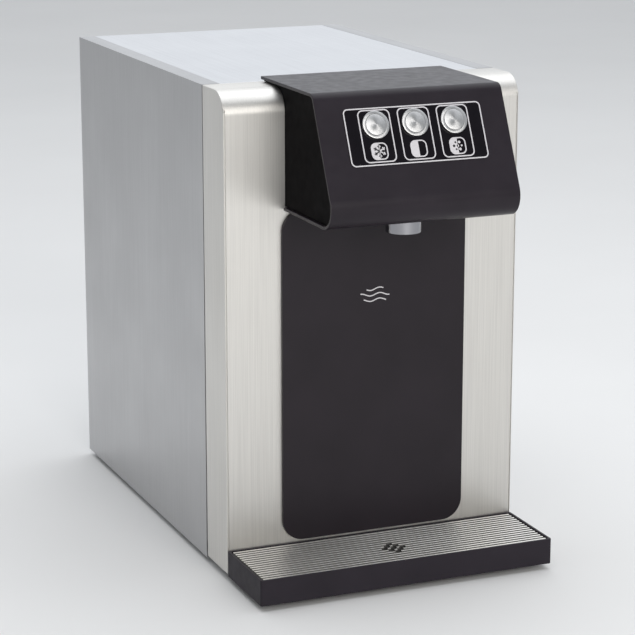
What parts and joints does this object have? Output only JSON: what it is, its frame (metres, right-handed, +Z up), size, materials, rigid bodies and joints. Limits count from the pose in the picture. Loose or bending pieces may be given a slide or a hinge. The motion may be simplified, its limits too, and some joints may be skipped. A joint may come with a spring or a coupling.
{
  "type": "countertop water dispenser",
  "caption": "Countertop water dispenser with a steel case, a sloping black head with push buttons over a splash plate, a nozzle and a removable drip tray.",
  "frame": {"origin": "bottom centre of the whole machine's box, on the counter under its middle", "axes": "+X to the right as seen from the front, +Y to the back, +Z up; the head and tray face -Y"},
  "size_m": [0.26, 0.5012, 0.4095],
  "materials": {
    "stainless": "satin, fine brushed",
    "galvanised": "matt zinc",
    "rubber": "matt",
    "screw_steel": "bright",
    "splash_black": "satin black",
    "head_black": "satin powder coat",
    "foam_seal": "matt",
    "label_gloss": "gloss",
    "button_steel": "spun, satin",
    "chrome": "polished",
    "white_plastic": "matt",
    "tray_black": "satin powder coat",
    "grille_steel": "satin",
    "foam": "matt foam",
    "copper": "drawn",
    "motor_black": "gloss black paint",
    "aluminium_fin": "mill",
    "black_plastic": "moulded, fine texture",
    "brass": "machined",
    "hose": "smooth",
    "board_green": "satin"
  },
  "bodies": {
    "case": {"front_panel": "stainless", "left_side_panel": "stainless", "right_side_panel": "stainless", "top_panel": "stainless", "rear_panel": "galvanised", "base_plate": "galvanised", "rubber_feet": "rubber", "rear_screws": "screw_steel", "splash_plate": "splash_black", "head_shell": "head_black", "head_left_cheek": "head_black", "head_right_cheek": "head_black", "head_seal": "foam_seal", "head_bracket": "galvanised", "button_label": "label_gloss", "switch_nuts": "screw_steel", "nozzle_body": "chrome", "nozzle_diffuser": "white_plastic", "nozzle_nut": "screw_steel", "tank_insulation": "foam", "cold_tank": "white_plastic", "tank_lid": "foam", "evaporator_coil": "copper", "water_coil": "grille_steel", "carbonator": "grille_steel", "agitator_motor": "motor_black", "compressor": "motor_black", "compressor_mounts": "rubber", "condenser": "aluminium_fin", "fan_frame": "black_plastic", "filter_drier": "copper", "pump_motor": "motor_black", "pump_head": "brass", "valve_manifold": "white_plastic", "solenoid_coils": "black_plastic", "water_inlet_fitting": "white_plastic", "gas_inlet_fitting": "white_plastic", "hoses": "hose", "refrigerant_lines": "copper", "electronics_shelf": "galvanised", "control_board": "board_green", "power_inlet": "black_plastic", "power_switch_frame": "black_plastic", "thermostat_body": "black_plastic", "left_switch_body": "button_steel", "left_button_spring": "screw_steel", "middle_switch_body": "button_steel", "middle_button_spring": "screw_steel", "right_switch_body": "button_steel", "right_button_spring": "screw_steel"},
    "tray": {"drip_tray": "tray_black", "tray_pads": "rubber"},
    "grille": {"drip_grille": "grille_steel"},
    "left_button": {"left_button_cap": "button_steel"},
    "middle_button": {"middle_button_cap": "button_steel"},
    "right_button": {"right_button_cap": "button_steel"},
    "fan": {"fan_rotor": "black_plastic"},
    "agitator": {"agitator_rotor": "white_plastic"},
    "rocker": {"power_switch_rocker": "black_plastic"},
    "thermostat_dial": {"thermostat_knob": "black_plastic"}
  },
  "joints": [
    {"name": "left_button_press", "type": "slide", "parent": "case", "child": "left_button", "axis": [0, 0.9033, -0.4289], "range_m": [0, 0.0015], "stiffness_N_per_m": 400, "springref_m": -0.002, "deforming": ["left_button_spring"]},
    {"name": "middle_button_press", "type": "slide", "parent": "case", "child": "middle_button", "axis": [0, 0.9033, -0.4289], "range_m": [0, 0.0015], "stiffness_N_per_m": 400, "springref_m": -0.002, "deforming": ["middle_button_spring"]},
    {"name": "right_button_press", "type": "slide", "parent": "case", "child": "right_button", "axis": [0, 0.9033, -0.4289], "range_m": [0, 0.0015], "stiffness_N_per_m": 400, "springref_m": -0.002, "deforming": ["right_button_spring"]},
    {"name": "tray_slide", "type": "slide", "parent": "case", "child": "tray", "axis": [0, -1, 0], "range_m": [0, 0.06]},
    {"name": "grille_lift", "type": "slide", "parent": "tray", "child": "grille", "axis": [0, 0, 1], "range_m": [0, 0.08]},
    {"name": "fan_spin", "type": "hinge", "parent": "case", "child": "fan", "pos_m": [0.065, 0.1566, 0.076], "axis": [0, 1, 0], "continuous": true},
    {"name": "agitator_spin", "type": "hinge", "parent": "case", "child": "agitator", "pos_m": [-0.005, -0.0524, 0.06], "axis": [0, 0, 1], "continuous": true},
    {"name": "power_rocker_tilt", "type": "hinge", "parent": "case", "child": "rocker", "pos_m": [-0.025, 0.2306, 0.345], "axis": [-1, 0, 0], "range_deg": [0, 20]},
    {"name": "thermostat_turn", "type": "hinge", "parent": "case", "child": "thermostat_dial", "pos_m": [0.04, 0.2306, 0.345], "axis": [0, 1, 0], "range_deg": [0, 270]}
  ]
}
